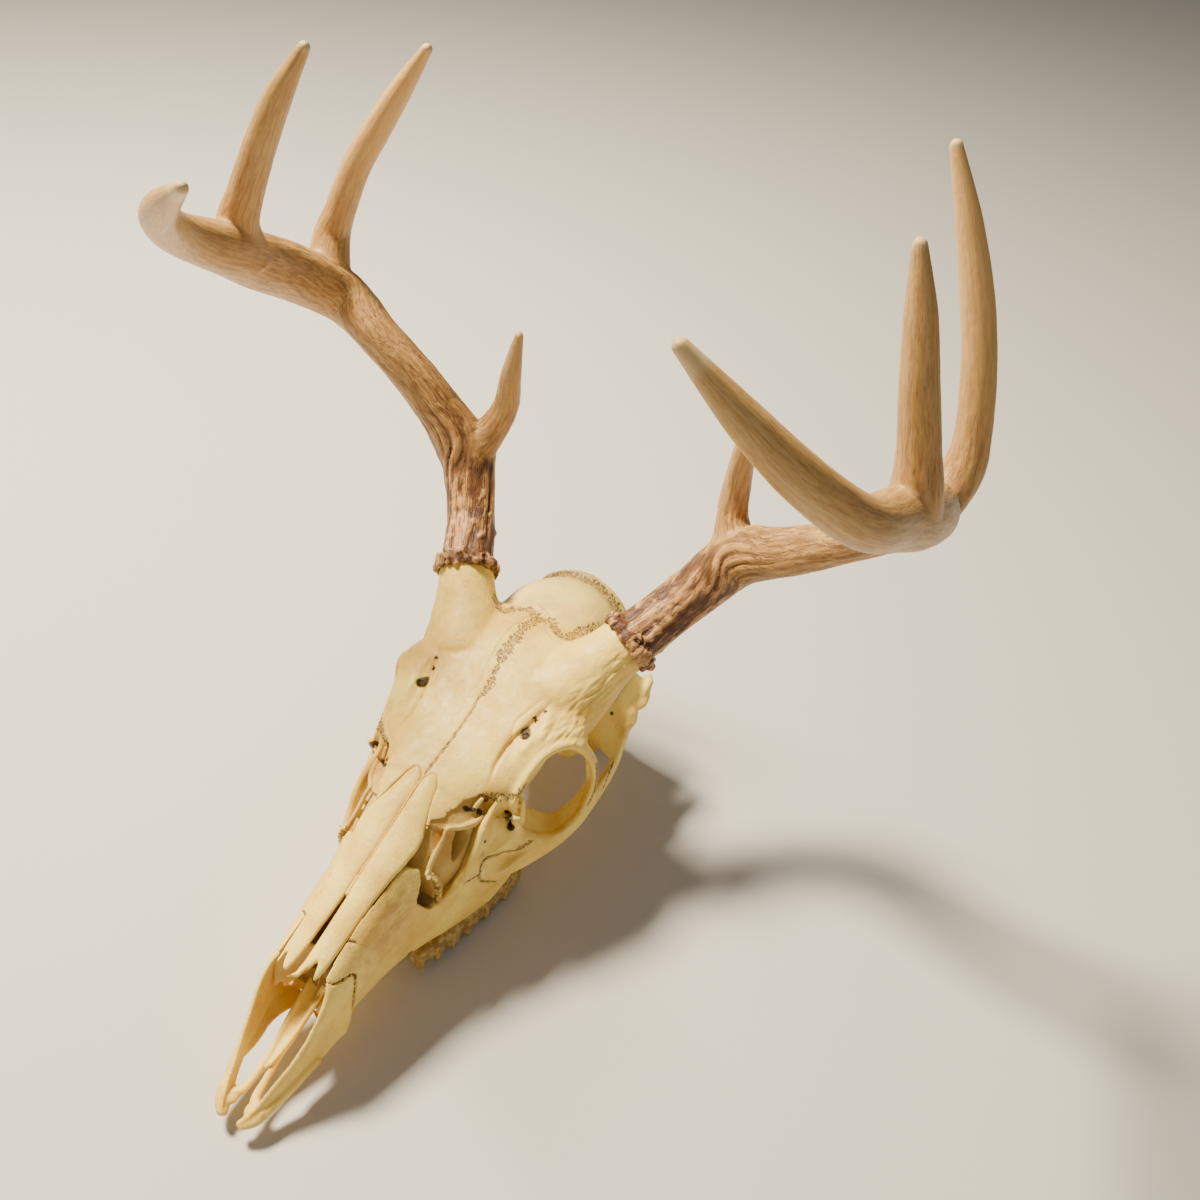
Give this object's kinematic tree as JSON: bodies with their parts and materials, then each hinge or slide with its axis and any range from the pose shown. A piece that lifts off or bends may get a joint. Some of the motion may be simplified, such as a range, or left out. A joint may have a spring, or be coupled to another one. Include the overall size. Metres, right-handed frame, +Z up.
{
  "type": "deer skull",
  "caption": "White-tailed deer skull with antlers and upper teeth, without its lower jaw, resting on its molars as a still museum model.",
  "frame": {"origin": "middle of the bounding box's underside, on the ground between the back of the tooth rows, in the skull's middle plane", "axes": "+Z up, -Y towards the nose, +X towards the animal's left"},
  "size_m": [0.3393, 0.2971, 0.3708],
  "materials": {
    "bone": "dry cream bone with a faint sheen, fine pores, thin brown sutures and warm stains",
    "bone_inside": "thin unbleached bone inside the nose, tan to brown and matte",
    "tooth": "worn tooth, brownish cream with dark stains between the cusps",
    "antler": "ridged chestnut brown antler, paler along the beam, polished tan at the tips"
  },
  "bodies": {
    "root": {"nasal_left": "bone", "nasal_right": "bone", "premaxilla_left": "bone", "premaxilla_right": "bone", "occipital": "bone", "lacrimal_left": "bone", "lacrimal_right": "bone", "zygomatic_left": "bone", "zygomatic_right": "bone", "frontal_left": "bone", "frontal_right": "bone", "parietal": "bone", "temporal_left": "bone", "temporal_right": "bone", "maxilla_left": "bone", "maxilla_right": "bone", "sphenoid": "bone", "nasal_septum": "bone_inside", "antler_left_beam_base": "antler", "antler_left_beam_middle": "antler", "antler_left_beam_upper": "antler", "antler_left_beam_tip": "antler", "antler_left_brow_tine": "antler", "antler_left_back_tine": "antler", "antler_left_front_tine": "antler", "antler_right_beam_base": "antler", "antler_right_beam_middle": "antler", "antler_right_beam_upper": "antler", "antler_right_beam_tip": "antler", "antler_right_brow_tine": "antler", "antler_right_back_tine": "antler", "antler_right_front_tine": "antler"}
  },
  "joints": []
}
